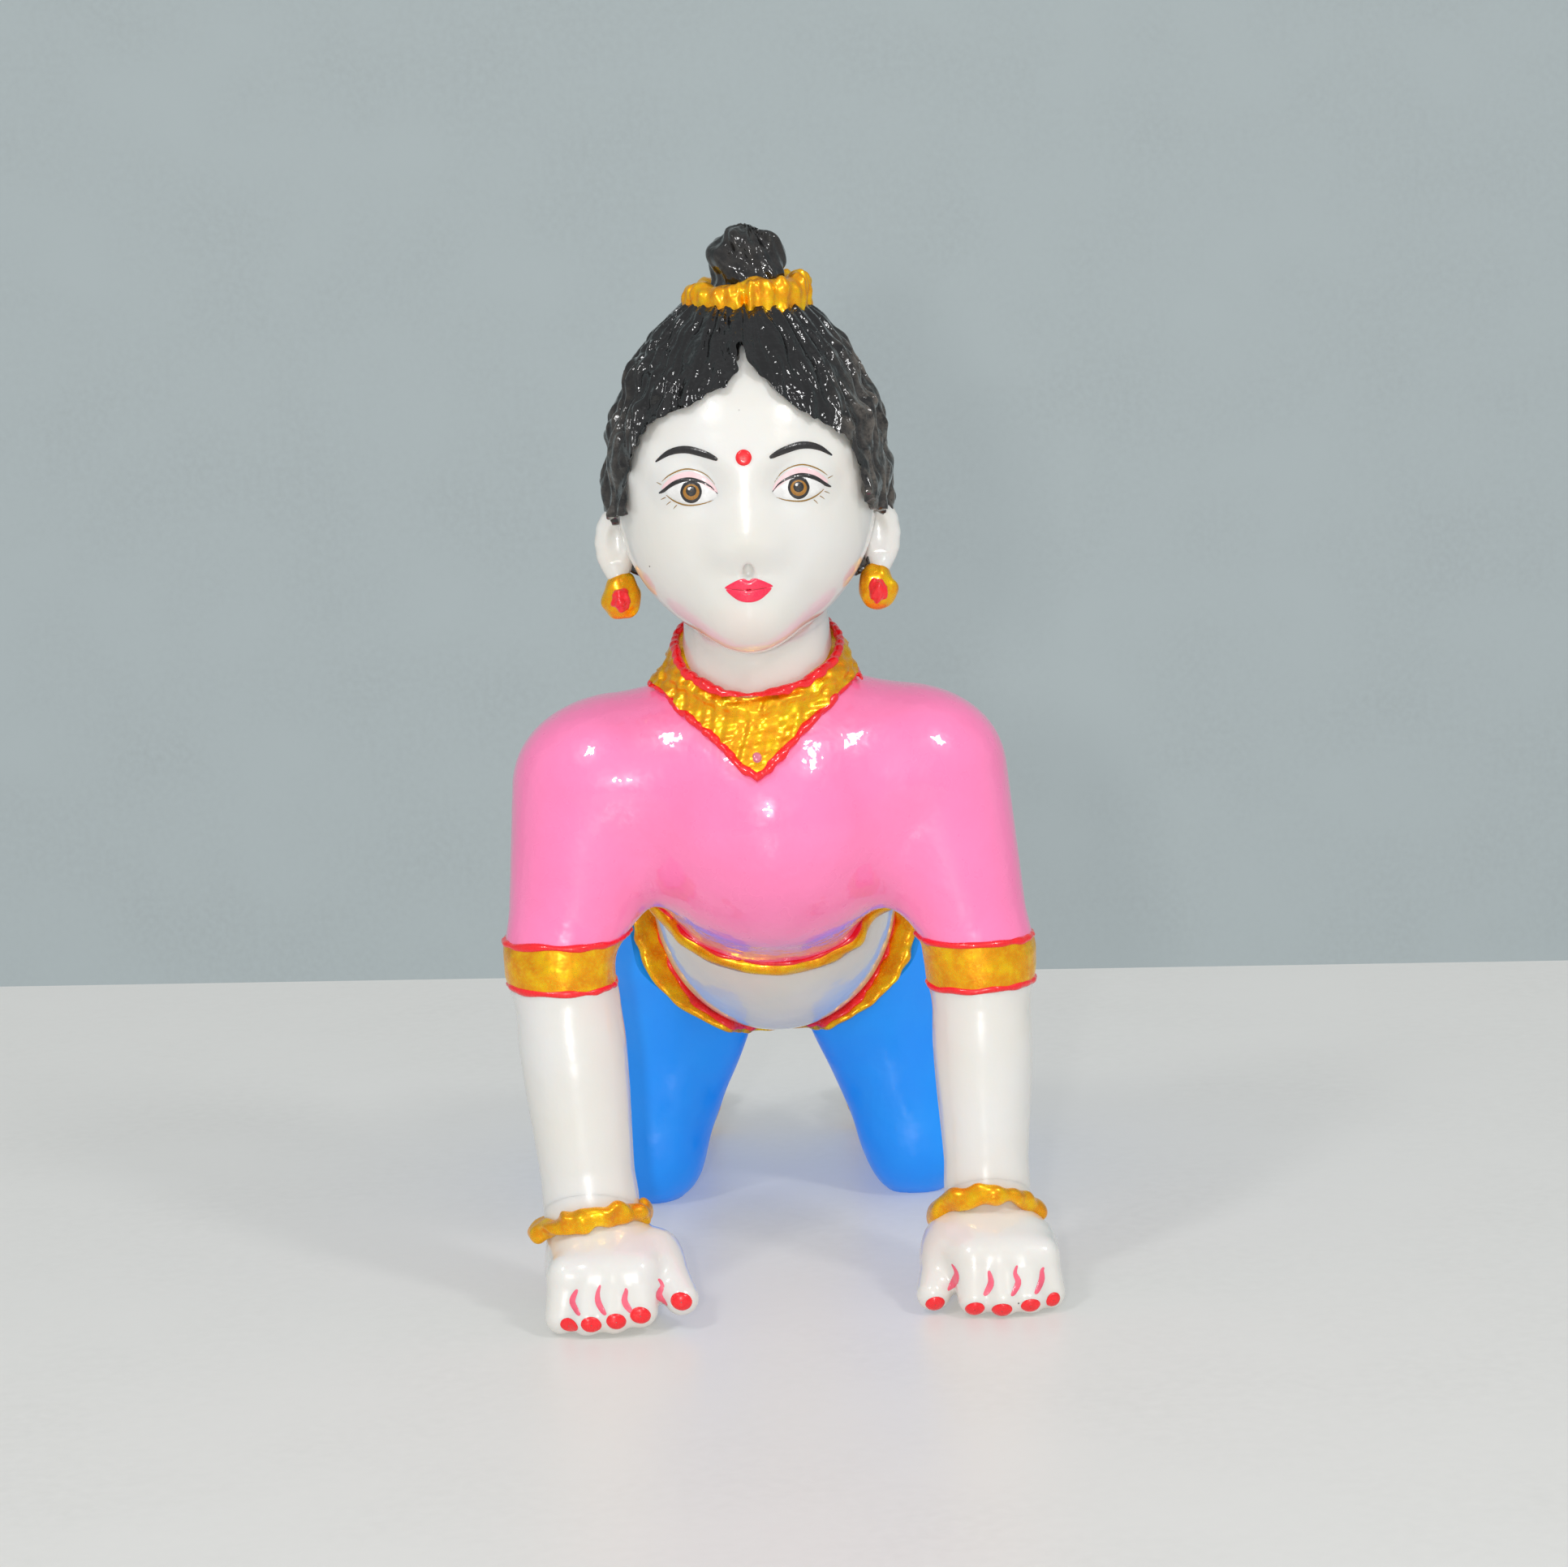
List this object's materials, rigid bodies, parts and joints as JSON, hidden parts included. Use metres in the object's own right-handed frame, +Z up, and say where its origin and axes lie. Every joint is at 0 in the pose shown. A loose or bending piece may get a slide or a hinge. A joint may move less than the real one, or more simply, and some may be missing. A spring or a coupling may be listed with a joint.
{
  "type": "hindu deity statue",
  "caption": "Crawling child deity figurine in painted white marble, on hands and knees with its head raised, with a topknot, gold ornaments, a short blouse and a dhoti.",
  "frame": {"origin": "centre of the footprint, on the surface that the figurine stands on", "axes": "+Z up, -Y the way the figurine faces, +X its own left"},
  "size_m": [0.0594, 0.1068, 0.1172],
  "materials": {
    "marble": "polished white marble-dust casting under clear lacquer",
    "black_enamel": "gloss black enamel on the carved casting",
    "gold_paint": "thick glittering gold paint, granular and slightly lumpy",
    "pink_enamel": "gloss bubble-gum pink enamel on the casting",
    "blue_enamel": "satin-gloss bright blue enamel on the casting",
    "red_enamel": "gloss red enamel, brushed on by hand",
    "brow_enamel": "thin black enamel line, brushed on by hand",
    "eye_enamel": "gloss white enamel with a painted dark iris and lash line"
  },
  "bodies": {
    "root": {"head": "marble", "neck": "marble", "left_ear": "marble", "right_ear": "marble", "belly": "marble", "left_forearm": "marble", "right_forearm": "marble", "left_hand": "marble", "right_hand": "marble", "left_foot": "marble", "right_foot": "marble", "hair": "black_enamel", "topknot": "black_enamel", "topknot_band": "gold_paint", "collar": "gold_paint", "blouse_hem": "gold_paint", "waistband": "gold_paint", "left_earring": "gold_paint", "right_earring": "gold_paint", "left_sleeve_band": "gold_paint", "right_sleeve_band": "gold_paint", "left_bangle": "gold_paint", "right_bangle": "gold_paint", "left_cuff": "gold_paint", "right_cuff": "gold_paint", "blouse_body": "pink_enamel", "left_sleeve": "pink_enamel", "right_sleeve": "pink_enamel", "dhoti_seat": "blue_enamel", "left_thigh": "blue_enamel", "right_thigh": "blue_enamel", "left_shin": "blue_enamel", "right_shin": "blue_enamel", "collar_neck_piping": "red_enamel", "collar_edge_piping": "red_enamel", "left_sleeve_piping": "red_enamel", "right_sleeve_piping": "red_enamel", "left_earring_stone": "red_enamel", "right_earring_stone": "red_enamel", "left_nails": "red_enamel", "right_nails": "red_enamel", "lips": "red_enamel", "bindi": "red_enamel", "left_eyebrow": "brow_enamel", "right_eyebrow": "brow_enamel", "left_eye": "eye_enamel", "right_eye": "eye_enamel"}
  },
  "joints": []
}
